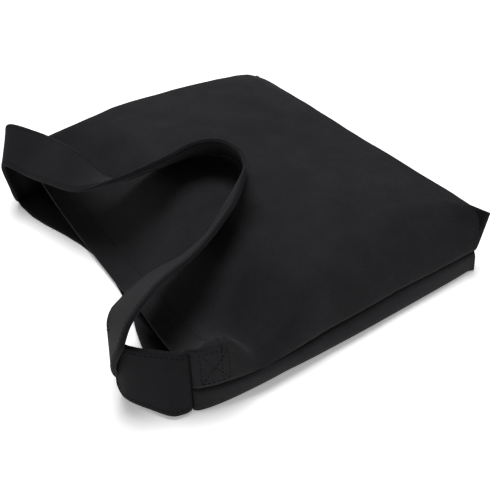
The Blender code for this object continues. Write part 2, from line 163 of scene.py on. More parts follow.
def woven_finish(name, dark, light, rib_spacing, rib_angle, relief, sheen):
    """A twill cloth: slanted ribs cut by yarns, with lint and slow changes of tone."""
    material = bpy.data.materials.new(name)
    material.use_nodes = True
    tree = material.node_tree
    shader = tree.nodes["Principled BSDF"]
    coords = new_node(tree, "ShaderNodeTexCoord")
    ribs = bands(tree, coords, rib_spacing, rib_angle)
    yarns = bands(tree, coords, YARN_SPACING, math.radians(90))
    weave = combine(tree, "MULTIPLY", ribs, "Fac", yarns, "Fac")
    cloth = combine(tree, "ADD", weave, "Value", ribs, "Fac")
    tone = speckle(tree, coords, "Object", TONE_SCALE, 5.0)
    lint = speckle(tree, coords, "Object", LINT_SCALE, 2.0)
    mixed = combine(tree, "MULTIPLY", tone, "Fac", lint, "Fac")
    pattern = new_node(tree, "ShaderNodeMath", operation="MULTIPLY_ADD")
    pattern.inputs[1].default_value = WEAVE_TONE
    link(tree, cloth, "Value", pattern, 0)
    link(tree, mixed, "Value", pattern, 2)
    middle = tuple((a + b) / 2 for a, b in zip(dark, light))
    ramp = colour_ramp(tree, pattern, "Value", [(0.2, dark), (0.42, middle), (0.7, light)])
    link(tree, ramp, "Color", shader, "Base Color")
    height = new_node(tree, "ShaderNodeMath", operation="MULTIPLY_ADD")
    height.inputs[1].default_value = LINT_HEIGHT
    link(tree, lint, "Fac", height, 0)
    link(tree, cloth, "Value", height, 2)
    bump = new_node(tree, "ShaderNodeBump")
    bump.inputs["Strength"].default_value = relief
    bump.inputs["Distance"].default_value = WEAVE_HEIGHT
    link(tree, height, "Value", bump, "Height")
    link(tree, bump, "Normal", shader, "Normal")
    shader.inputs["Roughness"].default_value = 0.92
    shader.inputs["Specular IOR Level"].default_value = 0.08
    shader.inputs["Sheen Weight"].default_value = sheen
    shader.inputs["Sheen Roughness"].default_value = 0.45
    return material


CANVAS = woven_finish("black_canvas", (0.015, 0.0152, 0.0166), (0.031, 0.0315, 0.0345), RIB_SPACING,
                      math.radians(58), 0.4, 0.035)
STRAP_CANVAS = woven_finish("strap_canvas", (0.011, 0.0111, 0.0124), (0.0215, 0.0218, 0.0242),
                            STRAP_RIB_SPACING, math.radians(32), 0.2, 0.03)
BINDING = woven_finish("binding_tape", (0.005, 0.005, 0.0056), (0.020, 0.020, 0.022), TAPE_RIB_SPACING,
                       math.radians(0), 0.6, 0.03)
print("woven finishes", CANVAS.name, STRAP_CANVAS.name, BINDING.name)

# %% [markdown]
# Thread, film and sand have no weave. Twisted thread and crinkled film are uneven and sand is grainy, and
# each could have its own recipe. One noise that gives both tone and height is enough for all three.

# %% Thread, film and sand finishes


def plain_finish(name, dark, light, scale, roughness, relief, distance, specular=0.5):
    """A finish whose tone and height follow one noise: twisted thread, crinkled film or sand."""
    material = bpy.data.materials.new(name)
    material.use_nodes = True
    tree = material.node_tree
    shader = tree.nodes["Principled BSDF"]
    coords = new_node(tree, "ShaderNodeTexCoord")
    grain = speckle(tree, coords, "Object", scale, 6.0)
    ramp = colour_ramp(tree, grain, "Fac", [(0.35, dark), (0.65, light)])
    link(tree, ramp, "Color", shader, "Base Color")
    bump = new_node(tree, "ShaderNodeBump")
    bump.inputs["Strength"].default_value = relief
    bump.inputs["Distance"].default_value = distance
    link(tree, grain, "Fac", bump, "Height")
    link(tree, bump, "Normal", shader, "Normal")
    shader.inputs["Roughness"].default_value = roughness
    shader.inputs["Specular IOR Level"].default_value = specular
    return material


THREAD = plain_finish("black_thread", (0.004, 0.004, 0.0045), (0.009, 0.009, 0.010), 1400.0, 0.9, 0.4,
                      0.0002, specular=0.05)
FILM = plain_finish("pouch_film", (0.035, 0.035, 0.038), (0.07, 0.07, 0.075), 60.0, 0.42, 0.6, 0.002)
SAND = plain_finish("dry_sand", (0.33, 0.25, 0.16), (0.60, 0.50, 0.36), 1600.0, 0.95, 0.8, 0.0006)
print("plain finishes", THREAD.name, FILM.name, SAND.name)

# %% [markdown]
# A cloth piece starts as a flat grid. Each point of the grid is then laid where that point of the cloth
# lies on the bag. It could be pulled into place by hand, but a rule can be read and changed. The UV map
# keeps the flat place of each point, in metres, for the weave.

# %% Helpers for cloth
WELD = 0.00001


def deselect():
    if bpy.context.object and bpy.context.object.mode != "OBJECT":
        bpy.ops.object.mode_set(mode="OBJECT")
    bpy.ops.object.select_all(action="DESELECT")


def clamp(value):
    return min(1.0, max(0.0, value))


def smooth(value):
    value = clamp(value)
    return value * value * (3 - 2 * value)


def run_lengths(points):
    """Length run from the first point to each point."""
    steps = np.linalg.norm(np.diff(np.array(points), axis=0), axis=1)
    return np.concatenate(([0.0], np.cumsum(steps)))


def cloth_grid(name, rows, columns, place, material):
    """A grid of cells laid out by place(along, across), both from 0 to 1, with its weave map in metres."""
    deselect()
    bpy.ops.mesh.primitive_grid_add(x_subdivisions=rows, y_subdivisions=columns, size=1.0, calc_uvs=False)
    cloth = bpy.context.object
    cloth.name = name
    cloth.data.name = name
    mesh = cloth.data
    grid = np.empty(len(mesh.vertices) * 3)
    mesh.vertices.foreach_get("co", grid)
    grid = (grid.reshape(-1, 3)[:, :2] + 0.5).clip(0.0, 1.0)
    laid = np.array([place(along, across) for along, across in grid])
    mesh.vertices.foreach_set("co", laid.ravel())
    row_run = run_lengths([place(row / rows, 0.5) for row in range(rows + 1)])
    column_run = run_lengths([place(0.5, column / columns) for column in range(columns + 1)])
    flat = np.column_stack((np.interp(grid[:, 0] * rows, range(rows + 1), row_run),
                            np.interp(grid[:, 1] * columns, range(columns + 1), column_run)))
    corners = np.empty(len(mesh.loops), dtype=np.int32)
    mesh.loops.foreach_get("vertex_index", corners)
    weave = mesh.uv_layers.new(name="weave")
    weave.data.foreach_set("uv", flat[corners].ravel())
    cloth["flat"] = (float(column_run[-1]), float(row_run[-1]))
    mesh.update()
    mesh.shade_smooth()
    mesh.materials.append(material)
    return cloth


def thicken(piece, thickness, offset):
    """Gives a laid cloth its thickness."""
    deselect()
    piece.select_set(True)
    bpy.context.view_layer.objects.active = piece
    modifier = piece.modifiers.new("Thickness", "SOLIDIFY")
    modifier.thickness = thickness
    modifier.offset = offset
    bpy.ops.object.modifier_apply(modifier=modifier.name)


# %% [markdown]
# The bag's skin. Along the bag, the upper panel hangs from the stiff mouth corners as a slack lip and
# fills out over the sand. The near half of the lip gapes a little, and the far side is fuller. A cloth
# simulation is the usual way to such a bag, but a simulated bag settles in its own way. A height that is
# worked out for each point keeps the lie that the photograph shows.

# %% Width and height of the skin
SWELL_SKEW = 0.6
NEAR_LIP_POWER = 6.0
FAR_LIP_POWER = 2.4
LIP_FLAT_SHARE = 0.25
LIP_FLAT_FADE = 0.020
NEAR_GAPE = 0.0105
GAPE_START = -0.02
GAPE_FADE = 0.05
END_CROWN = 0.003
NEAR_DIP = 0.033
DIP_START = -0.139
DIP_START_FADE = 0.034
DIP_END = -0.035
DIP_END_FADE = 0.060
FAR_START = -0.05
FAR_RISE = ((-0.167, 0.0), (-0.119, 0.0005), (-0.095, 0.0025), (-0.070, 0.005), (-0.046, 0.009),
            (-0.022, 0.011), (0.050, 0.0132), (0.098, 0.014), (0.122, 0.013), (0.146, 0.010), (0.167, 0.003))


def along_curve(stops, x):
    """A value at x, in straight runs between stops of (place, value)."""
    return float(np.interp(x, [place for place, value in stops], [value for place, value in stops]))


def body_share(x):
    return clamp((x - MOUTH_X) / BODY_LENGTH)


def half_width(x):
    return BODY_WIDTH / 2 + SIDE_SWELL * math.sin(math.pi * body_share(x) ** SWELL_SKEW)


def near_dip(x):
    """How far the near edge drops between the strap's tucked end, which props it up, and the sand."""
    return NEAR_DIP * smooth((x - DIP_START) / DIP_START_FADE) * smooth((DIP_END - x) / DIP_END_FADE)


def top_height(x, y):
    """Height of the upper panel: a slack lip at the mouth, a crown over the sand, fuller at the far side."""
    flat = CORNER_FLAT * (LIP_FLAT_SHARE + (1 - LIP_FLAT_SHARE) * smooth((x - MOUTH_X) / LIP_FLAT_FADE))
    spread = min(1.0, abs(y) / (half_width(x) - flat))
    corner = NEAR_CORNER_HEIGHT if y < 0 else FAR_CORNER_HEIGHT
    rest = LIP_HEIGHT + NEAR_GAPE * smooth((GAPE_START - y) / GAPE_FADE)
    lip = rest + (corner - rest) * spread ** (NEAR_LIP_POWER if y < 0 else FAR_LIP_POWER)
    share = body_share(x)
    middle = FAR_CORNER_HEIGHT + (corner - FAR_CORNER_HEIGHT) * smooth(spread)
    edge = middle + (END_HEIGHT - middle) * smooth(share * 3)
    swell = math.sin(math.pi * share)
    far = smooth((y / half_width(x) - FAR_START) / (1 - FAR_START))
    full = edge + CROWN_RISE * swell * (1 - spread * spread) + along_curve(FAR_RISE, x) * far
    full += END_CROWN * share ** 4 * (1 - spread ** 6)
    height = lip + (full - lip) * smooth((x - MOUTH_X) / SAG_LENGTH)
    return height - near_dip(x) * spread ** 4 if y < 0 else height


def settle(point):
    """Draws the slack lips back between the corners, and lets the far corner of the mouth lean in."""
    slack = 1 - smooth((point.x - MOUTH_X) / SAG_LENGTH)
    spread = point.y / half_width(point.x)
    lean = FAR_LEAN * smooth(spread) * point.z / FAR_CORNER_HEIGHT
    return point + slack * Vector((LIP_RECESS * max(0.0, 1 - spread * spread), -lean, 0.0))


print("width at the middle", round(2 * half_width(0), 3), "height there", round(top_height(0, 0), 3))

# %% [markdown]
# The walls of the bag. From the side seam the cloth climbs, turns over the edge and runs on over the top.
# On the near side the edge isn't a box edge: behind the strap the cloth stands upright, then the edge
# draws in towards the crown, which leaves a long slanted face, and at the bottom it comes out again to a
# sharp tip. A bevelled box would have the same edge all along. So each wall is one rounded section whose
# reach changes along the bag, and the walls at the sides and the bottom meet in upright corner seams.

# %% Walls and corners of the skin
TOP_POWER = 2.0
FACE_POWER = 1.15
END_POWER = 1.6
FLOOR_POWER = 2.0
WALL_EASE = 1.3
END_REACH = 0.007
LOWER_END_REACH = 0.009
TIP_LEVEL = 0.25
TIP_FADE = 0.020
TUCK_FADE = 0.050
CORNER_TUCK = 0.0073
SIDE_TUCK = 0.0004
NEAR_FACE = ((-0.167, 0.003), (-0.140, 0.004), (-0.128, 0.008), (-0.110, 0.016), (-0.070, 0.024),
             (-0.046, 0.038), (-0.020, 0.054), (0.020, 0.066), (0.060, 0.070), (0.105, 0.064),
             (0.140, 0.044), (0.167, 0.012))
FAR_FACE = ((-0.167, 0.003), (-0.128, 0.006), (-0.060, 0.016), (0.040, 0.016), (0.120, 0.014),
            (0.167, 0.008))
FLOOR_FACE = ((-0.167, 0.001), (-0.145, 0.004), (-0.120, 0.0075), (-0.080, 0.0125), (-0.020, 0.0115),
              (0.040, 0.009), (0.100, 0.006), (0.130, 0.0042), (0.158, 0.0028), (0.167, LOWER_END_REACH))


def wall(level, reach, power):
    """Inset and height share of a wall at a level, from 0 at its upper edge to 1 at its seam."""
    part = (1 - level) ** WALL_EASE
    return reach * part, (1 - (1 - part) ** TOP_POWER) ** (1 / power)


def inset_at(share, reach, power):
    """Inset of a wall at a height share."""
    return reach * (1 - (1 - clamp(share) ** power) ** (1 / TOP_POWER))


def corner_line(level, reach):
    """Inset and height share of the upright corner seam: a tip that stands up, then a straight seam."""
    if level < TIP_LEVEL:
        return reach * (1 - level / TIP_LEVEL) ** 2, 1.0
    return 0.0, (1 - level) / (1 - TIP_LEVEL)


def corner_shape(point, level, tip_tuck):
    """Draws the tip and the upright seam of a boxed corner in, less and less away from the corner."""
    away = max(0.0, END_X - point.x, half_width(point.x) - abs(point.y))
    low = clamp((level - TIP_LEVEL) / (1 - TIP_LEVEL))
    tip = tip_tuck * (1 - low) * math.exp(-away / TIP_FADE)
    seam = low * math.exp(-away / TUCK_FADE)
    return point - Vector((tip + CORNER_TUCK * seam, math.copysign(tip + SIDE_TUCK * seam, point.y), 0.0))


class Skin:
    """One panel: a flat part with a wall at each side and one at the bottom, which meet in corners."""

    def __init__(self, side_share, end_share, side_power, end_power, end_reach, reaches):
        self.side_share = side_share
        self.end_share = end_share
        self.side_power = side_power
        self.end_power = end_power
        self.end_reach = end_reach
        self.reaches = reaches

    def levels(self, along, across):
        """How far down the side wall and the end wall a point of the sheet is."""
        side = max(0.0, (self.side_share - min(across, 1 - across)) / self.side_share)
        end = max(0.0, (along - self.end_share) / (1 - self.end_share))
        return side, end

    def place(self, along, across):
        """Flat place (x, y), height share and level of a point of the sheet."""
        side, end = self.levels(along, across)
        sign = -1 if across < 0.5 else 1
        x = MOUTH_X + (END_X - self.end_reach - MOUTH_X) * min(1.0, along / self.end_share)
        half = half_width(x)
        near, far = self.reaches(x)
        reach = near if sign < 0 else far
        part = clamp((across - self.side_share) / (1 - 2 * self.side_share))
        y = -half + near + (2 * half - near - far) * part
        level = max(side, end)
        side_inset, side_height = wall(level, reach, self.side_power)
        end_inset, end_height = wall(level, self.end_reach, self.end_power)
        corner_end, corner_height = corner_line(level, self.end_reach)
        corner_side, _ = corner_line(level, reach)
        corner = Vector((END_X - corner_end, sign * (half - corner_side), corner_height))
        if level == 0:
            return Vector((x, y, 1.0)), level
        if end >= side:
            return Vector((END_X - end_inset, y, end_height)).lerp(corner, side / end), level
        return Vector((x, sign * (half - side_inset), side_height)).lerp(corner, end / side), level


UPPER = Skin(0.15, 0.82, FACE_POWER, END_POWER, END_REACH,
             lambda x: (along_curve(NEAR_FACE, x), along_curve(FAR_FACE, x)))
LOWER = Skin(0.10, 0.88, FLOOR_POWER, FLOOR_POWER, LOWER_END_REACH,
             lambda x: (along_curve(FLOOR_FACE, x), along_curve(FLOOR_FACE, x)))
print("reach of the near and far walls at the middle", UPPER.reaches(0.0))

# %% [markdown]
# Sewing shows in the cloth. The seam is a shallow groove that draws the cloth in, with small puckers
# beside it, and the near seam pulls its whole wall in. Cloth over sand is softly uneven too. All of this
# could be sculpted, but noise and a few fades are even along the whole seam.

# %% How the seams draw the cloth
GROOVE_DEPTH = 0.0018
GROOVE_WIDTH = 0.0020
PUCKER = 0.0004
PUCKER_REACH = 0.012
PUCKER_WAVES = 130
SLOW_WAVES = 14
SLOW_HEIGHT = 0.0016
FINE_WAVES = 42
FINE_HEIGHT = 0.0005
DRAW_EASE = 1.3
SEAM_DRAW = ((-0.108, 0.0), (-0.078, 0.0033), (-0.032, 0.0073), (0.056, 0.0071), (0.096, 0.0043),
             (0.167, 0.0))


def unevenness(x, y):
    """Slow waves of cloth over sand, and finer ones."""
    slow = noise.noise(Vector((x * SLOW_WAVES, y * SLOW_WAVES, 0.3)))
    fine = noise.noise(Vector((x * FINE_WAVES, y * FINE_WAVES, 1.7)))
    return SLOW_HEIGHT * slow + FINE_HEIGHT * fine


def near_draw(x, climb, wall_height):
    """How far the near seam pulls the wall in, at a distance from the seam."""
    return along_curve(SEAM_DRAW, x) * clamp(1 - climb / wall_height) ** DRAW_EASE


def drawn_in(point, climb, wall_height, side, end):
    """Draws the cloth in at the seam: climb is the distance from it, side and end the walls' levels."""
    groove = GROOVE_DEPTH * math.exp(-climb / GROOVE_WIDTH)
    pucker = PUCKER * math.exp(-climb / PUCKER_REACH)
    side_wave = noise.noise(Vector((point.x * PUCKER_WAVES, 0.0, 4.1)))
    end_wave = noise.noise(Vector((0.0, point.y * PUCKER_WAVES, 4.1)))
    side_draw = (groove + pucker * side_wave) * smooth(3 * side - 1)
    if point.y < 0:
        side_draw += near_draw(point.x, climb, wall_height) * min(1.0, 2 * side)
    end_draw = (groove + pucker * end_wave) * smooth(3 * end - 1)
    return point - Vector((end_draw, math.copysign(side_draw, point.y), 0.0))


print("near draw at the middle", round(near_draw(0.0, 0.0, SEAM_HEIGHT), 4))

# %% [markdown]
# The two panels follow that shape. The upper one is laid above the seam and the lower one below it. The
# lower lip is a soft edge of its own: it lies in a long curve, and its near half rolls up a little.
# Solidify then gives each panel the thickness of heavy canvas.

# %% The two canvas panels
ROWS = 150
COLUMNS = 180
LOWER_TIP_TUCK = 0.0015
FAR_TIP_TUCK = 0.0048
LIP_ROLL = 0.0080
LIP_ROLL_X = -0.1625
ROLL_NEAR = -0.180
ROLL_FAR = -0.045
ROLL_FADE = 0.030
ROLL_FRONT = 0.0065
ROLL_BACK = 0.0028
LOWER_LIP = ((-0.200, -0.167), (-0.150, -0.170), (-0.114, -0.170), (-0.070, -0.1615), (-0.035, -0.154),
             (0.000, -0.1495), (0.036, -0.1495), (0.066, -0.155), (0.094, -0.163), (0.124, -0.1735),
             (0.148, -0.180), (0.177, -0.1832), (0.188, -0.1825), (0.196, -0.180), (0.200, -0.176))


def upper_place(along, across):
    flat, level = UPPER.place(along, across)
    near, far = UPPER.reaches(flat.x)
    half = half_width(flat.x)
    edge_y = max(-half + near, min(half - far, flat.y))
    climb = (top_height(flat.x, edge_y) + unevenness(flat.x, flat.y) - SEAM_HEIGHT) * flat.z
    tip_tuck = FAR_TIP_TUCK if flat.y > 0 else 0.0
    point = corner_shape(Vector((flat.x, flat.y, SEAM_HEIGHT + climb)), level, tip_tuck)
    return settle(drawn_in(point, abs(climb), END_HEIGHT - SEAM_HEIGHT, *UPPER.levels(along, across)))


def lip_roll(x, y):
    """How far the lower lip rolls up, on the near half of the mouth."""
    part = smooth((ROLL_FAR - y) / ROLL_FADE) * smooth((y - ROLL_NEAR) / ROLL_FADE)
    reach = ROLL_FRONT if x < LIP_ROLL_X else ROLL_BACK
    return LIP_ROLL * part * math.exp(-((x - LIP_ROLL_X) / reach) ** 2)


def lower_place(along, across):
    flat, level = LOWER.place(along, 1 - across)
    fall = SEAM_HEIGHT * flat.z
    point = corner_shape(Vector((flat.x, flat.y, SEAM_HEIGHT - fall)), level, LOWER_TIP_TUCK)
    point = settle(drawn_in(point, fall, SEAM_HEIGHT, *LOWER.levels(along, across)))
    lip = settle(Vector((MOUTH_X, point.y, 0.0)))
    point.x += (along_curve(LOWER_LIP, point.y) - lip.x) * (1 - smooth((point.x - MOUTH_X) / SAG_LENGTH))
    point.z += lip_roll(point.x, point.y)
    return point


def held_by(piece, body, slot, *nodes):
    """The piece moves with a body and stands for these solids, which are hidden. The slot is not used."""
    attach(piece, body)
    if nodes:
        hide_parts(*nodes)
    return piece


upper_canvas = cloth_grid("upper_canvas", ROWS, COLUMNS, upper_place, CANVAS)
lower_canvas = cloth_grid("lower_canvas", ROWS, COLUMNS, lower_place, CANVAS)
for panel, node in ((upper_canvas, "front_panel"), (lower_canvas, "back_panel")):
    thicken(panel, CANVAS_THICKNESS, -1.0)
    held_by(panel, "bag", "canvas", node)
    print(panel.name, "flat", [round(v, 3) for v in panel["flat"]], "faces", len(panel.data.polygons))

# %% [markdown]
# Each lip has a hem: the edge of the panel, turned under and sewn down. It could be an extruded edge of
# the panel. It is a strip of its own that lies just inside the panel, because the solids have it as a
# piece.

# %% Hems of the mouth
HEM_ROWS = 12
HEM_SHARE = 0.066
HEM_MARGIN = 0.03
HEM_THICKNESS = 0.0010
HEM_GAP = 0.0004


def pushed_in(piece, distance):
    """Moves a laid cloth inwards, along its own normals."""
    mesh = piece.data
    for vertex, normal in zip(mesh.vertices, [n.vector.copy() for n in mesh.vertex_normals]):
        vertex.co -= normal * distance
    mesh.update()


def lip_hem(name, node, place):
    hem = cloth_grid(name, HEM_ROWS, COLUMNS, lambda along, across: place(
        along * HEM_SHARE, HEM_MARGIN + (1 - 2 * HEM_MARGIN) * across), CANVAS)
    pushed_in(hem, CANVAS_THICKNESS + HEM_GAP)
    thicken(hem, HEM_THICKNESS, -1.0)
    return held_by(hem, "bag", "canvas", node)


upper_hem = lip_hem("upper_lip_hem", "front_mouth_hem", upper_place)
lower_hem = lip_hem("lower_lip_hem", "back_mouth_hem", lower_place)
print("hems", [round(v, 3) for v in upper_hem["flat"]], [round(v, 3) for v in lower_hem["flat"]])

# %% [markdown]
# Inside, the raw edges of the seams are bound with tape. Each tape lies across its seam, half on each
# panel. A tape could be shrink-wrapped to the cloth. Laid by the walls' own section, it keeps an even gap
# to it.

# %% Seam tapes
TAPE_THICKNESS = 0.0008
TAPE_HALF = 0.010
TAPE_GAP = 0.0034
TAPE_ROWS = 120
CORNER_TAPE_ROWS = 20
TAPE_COLUMNS = 12
TAPE_START = 0.004
SIDE_TAPE_SHORT = 0.030
BOTTOM_TAPE_SHORT = 0.026
CORNER_TAPE_LEVELS = (0.20, 0.92)
CORNER_TAPE_GAP = 0.0030


def seam_section(x, offset, sign):
    """Inset of the side wall at a height above or below the seam."""
    wall_height = END_HEIGHT - SEAM_HEIGHT if offset >= 0 else SEAM_HEIGHT
    draw = near_draw(x, abs(offset), wall_height) if sign < 0 else 0.0
    if offset >= 0:
        near, far = UPPER.reaches(x)
        rise = top_height(x, sign * half_width(x)) - SEAM_HEIGHT
        return draw + inset_at(offset / rise, near if sign < 0 else far, FACE_POWER)
    return draw + inset_at(-offset / SEAM_HEIGHT, along_curve(FLOOR_FACE, x), FLOOR_POWER)


def side_tape_place(sign):
    def place(along, across):
        x = MOUTH_X + TAPE_START + (BODY_LENGTH - SIDE_TAPE_SHORT) * along
        offset = TAPE_HALF * (1 - 2 * across) * -sign
        if offset > 0:
            rise = top_height(x, sign * half_width(x)) - SEAM_HEIGHT
            offset *= min(1.0, 0.5 * rise / TAPE_HALF)
        y = sign * (half_width(x) - seam_section(x, offset, sign) - TAPE_GAP)
        return settle(Vector((x, y, SEAM_HEIGHT + offset)))
    return place


def bottom_tape_place(along, across):
    y = (BODY_WIDTH / 2 - BOTTOM_TAPE_SHORT) * (2 * along - 1)
    offset = TAPE_HALF * (2 * across - 1)
    if offset < 0:
        inset = inset_at(-offset / SEAM_HEIGHT, LOWER_END_REACH, FLOOR_POWER)
    else:
        inset = inset_at(offset / (END_HEIGHT - SEAM_HEIGHT), END_REACH, END_POWER)
    return Vector((END_X - inset - TAPE_GAP, y, SEAM_HEIGHT + offset))


def corner_tape_place(sign):
    def place(along, across):
        low, high = CORNER_TAPE_LEVELS
        level = low + (high - low) * along
        side = level * min(1.0, 2 * (1 - across))
        end = level * min(1.0, 2 * across)
        sheet_across = UPPER.side_share * (1 - side)
        return upper_place(UPPER.end_share + (1 - UPPER.end_share) * end,
                           sheet_across if sign < 0 else 1 - sheet_across)
    return place


def seam_tape(name, node, rows, place, push):
    tape = cloth_grid(name, rows, TAPE_COLUMNS, place, BINDING)
    if push:
        pushed_in(tape, push)
    thicken(tape, TAPE_THICKNESS, 0.0)
    return held_by(tape, "bag", "seam_tape", node)


tapes = [
    seam_tape("near_seam_tape", "near_side_tape", TAPE_ROWS, side_tape_place(-1), 0.0),
    seam_tape("far_seam_tape", "far_side_tape", TAPE_ROWS, side_tape_place(1), 0.0),
    seam_tape("bottom_seam_tape", "bottom_tape", TAPE_ROWS, bottom_tape_place, 0.0),
    seam_tape("near_corner_seam_tape", "near_corner_tape", CORNER_TAPE_ROWS, corner_tape_place(-1),
              CORNER_TAPE_GAP),
    seam_tape("far_corner_seam_tape", "far_corner_tape", CORNER_TAPE_ROWS, corner_tape_place(1),
              -CORNER_TAPE_GAP),
]
print("tapes", [tape.name for tape in tapes])

# %% [markdown]
# The sand sits in a pouch of welded film. A simulation could blow such a pouch up, but it has to fill
# this bag and no other. So it is two films whose heights follow the bag's own skin and which meet in one
# rim, and the sand is the same pillow, a little smaller.

# %% Pouch and sand
POUCH_LENGTH = 0.230
POUCH_EASE = 0.0065
FILM_THICKNESS = 0.0008
SAND_EASE = 0.0022
PILLOW_ROWS = 80
PILLOW_COLUMNS = 100
POUCH_CORNER_TUCK = 0.010
FLOOR_EASE = 0.002
TOP_EASE = 0.006
RIM_POWER = 2.0
FLOOR_RIM_REACH = 0.012
END_RIM_REACH = 0.016
MOUTH_END_REACH = 0.060
MOUTH_END_POWER = 1.6


def pillow_share(distance, reach, power):
    return (1 - (1 - clamp(distance / reach)) ** TOP_POWER) ** (1 / power)


def pillow_place(ease, is_top):
    def place(along, across):
        x_low = END_X - POUCH_LENGTH + ease
        x_high = END_X - POUCH_EASE - CORNER_TUCK - ease
        x = x_low + (x_high - x_low) * (1 - math.cos(math.pi * along)) / 2
        half = half_width(x) - POUCH_EASE - ease - POUCH_CORNER_TUCK * body_share(x) ** 10
        near_half = half - along_curve(SEAM_DRAW, x)
        y = -math.cos(math.pi * (across if is_top else 1 - across))
        y *= near_half if y < 0 else half
        from_near, from_far, from_mouth, from_end = near_half + y, half - y, x - x_low, x_high - x
        if not is_top:
            rims = (from_near, from_far, from_mouth, from_end)
            share = math.prod(pillow_share(rim, FLOOR_RIM_REACH, RIM_POWER) for rim in rims)
            depth = SEAM_HEIGHT - CANVAS_THICKNESS - FLOOR_EASE - ease
            return Vector((x, y, SEAM_HEIGHT - depth * share))
        near, far = UPPER.reaches(x)
        share = pillow_share(from_near, near + TOP_EASE, FACE_POWER)
        share *= pillow_share(from_far, far + TOP_EASE, FACE_POWER)
        share *= pillow_share(from_mouth, MOUTH_END_REACH, MOUTH_END_POWER)
        share *= pillow_share(from_end, END_RIM_REACH, RIM_POWER)
        edge_y = max(-near_half + near, min(half - far, y))
        rise = top_height(x, edge_y) - TOP_EASE - ease - SEAM_HEIGHT
        return Vector((x, y, SEAM_HEIGHT + rise * share))
    return place


def pillow(name, ease, material):
    """Two height fields joined at their rim."""
    top = cloth_grid(name, PILLOW_ROWS, PILLOW_COLUMNS, pillow_place(ease, True), material)
    base = cloth_grid(name + "_base", PILLOW_ROWS, PILLOW_COLUMNS, pillow_place(ease, False), material)
    deselect()
    base.select_set(True)
    top.select_set(True)
    bpy.context.view_layer.objects.active = top
    bpy.ops.object.join()
    bpy.ops.object.mode_set(mode="EDIT")
    bpy.ops.mesh.select_all(action="SELECT")
    bpy.ops.mesh.remove_doubles(threshold=WELD)
    bpy.ops.object.mode_set(mode="OBJECT")
    return top


sand_pouch = pillow("sand_pouch", 0.0, FILM)
thicken(sand_pouch, FILM_THICKNESS, -1.0)
held_by(sand_pouch, "bag", "pouch_film", "pouch_upper", "pouch_lower")
sand = pillow("sand", SAND_EASE, SAND)
held_by(sand, "bag", "sand", "sand_fill")
print("pouch faces", len(sand_pouch.data.polygons), "sand faces", len(sand.data.polygons))

# %% [markdown]
# The strap is one band of folded canvas. It stands on edge where it leaves the mouth corners, folds on
# the slant at the near side, stands on edge round the loop and turns over in a flat fold at the far side.
# Each station gives its two edges, and a smooth curve runs through them. A flat band like this is laid
# directly, because a simulation would only blur its folds.

# %% Where the strap runs
STRAP_THICKNESS = 0.0044
STRAP_INSET = 0.0058
FOOT_INSET = 0.0038
FOOT_TURN = 0.17
STRAP_TOP = 0.0640
STRAP_FOOT = 0.0018
NEAR_TAIL = (
    ((-0.1695, -0.1945, 0.0645), (-0.1705, -0.1985, 0.0016)),
    ((-0.1740, -0.1935, 0.0650), (-0.1770, -0.1985, 0.0018)),
    ((-0.1803, -0.1885, 0.0655), (-0.1860, -0.1950, 0.0022)),
    ((-0.1943, -0.1760, 0.0655), (-0.1970, -0.1785, 0.0022)),
    ((-0.2006, -0.1700, 0.0660), (-0.2020, -0.1705, 0.0022)),
    ((-0.2056, -0.1625, 0.0660), (-0.2066, -0.1615, 0.0024)),
    ((-0.2075, -0.1520, 0.0675), (-0.2084, -0.1528, 0.0034)),
)
NEAR_CURL = (
    ((-0.2074, -0.1447, 0.0672), (-0.2106, -0.1497, 0.0200)),
    ((-0.2051, -0.1359, 0.0645), (-0.2172, -0.1670, 0.0520)),
    ((-0.2016, -0.1267, 0.0610), (-0.2130, -0.1790, 0.0800)),
)
LOOP = (
    ((-0.1979, -0.1194, 0.0585), (-0.2030, -0.1720, 0.0900)),
    ((-0.1942, -0.1145, 0.0580), (-0.1940, -0.1680, 0.0960)),
    ((-0.1879, -0.1067, 0.0550), (-0.1776, -0.1577, 0.0980)),
    ((-0.1655, -0.0939, 0.0550), (-0.1599, -0.1460, 0.0970)),
    ((-0.1446, -0.0816, 0.0520), (-0.1416, -0.1349, 0.0930)),
    ((-0.1279, -0.0735, 0.0480), (-0.1180, -0.1235, 0.0910)),
    ((-0.1123, -0.0752, 0.0500), (-0.0913, -0.1115, 0.0960)),
    ((-0.0870, -0.0794, 0.0640), (-0.0613, -0.0981, 0.1090)),
    ((-0.0677, -0.0704, 0.0725), (-0.0446, -0.0857, 0.1180)),
    ((-0.0310, -0.0460, 0.0800), (-0.0360, -0.0780, 0.1240)),
    ((-0.0030, -0.0240, 0.0805), (-0.0290, -0.0670, 0.1235)),
    ((0.0080, -0.0080, 0.0810), (-0.0220, -0.0520, 0.1230)),
    ((0.0110, 0.0080, 0.0800), (-0.0180, -0.0340, 0.1220)),
    ((0.0050, 0.0290, 0.0800), (-0.0230, -0.0090, 0.1210)),
    ((-0.0220, 0.0440, 0.0795), (-0.0450, 0.0020, 0.1190)),
    ((-0.0647, 0.0470, 0.0765), (-0.0880, -0.0030, 0.1140)),
    ((-0.1080, 0.0705, 0.0643), (-0.1300, 0.0170, 0.0960)),
    ((-0.1270, 0.1130, 0.0845), (-0.1550, 0.0530, 0.0750)),
    ((-0.1350, 0.1570, 0.0820), (-0.1720, 0.1030, 0.0660)),
    ((-0.1480, 0.1870, 0.0830), (-0.1800, 0.1310, 0.0620)),
)
FAR_FOLD = (
    ((-0.1665, 0.2125, 0.0855), (-0.1940, 0.1660, 0.0620)),
    ((-0.1715, 0.2090, 0.0770), (-0.1895, 0.1715, 0.0250)),
)
FAR_TAIL = (
    ((-0.1740, 0.1970, 0.0690), (-0.1845, 0.1810, 0.0040)),
    ((-0.1735, 0.1830, 0.0680), (-0.1780, 0.1910, 0.0026)),
)
print("free stations", len(NEAR_TAIL + NEAR_CURL + LOOP + FAR_FOLD + FAR_TAIL))

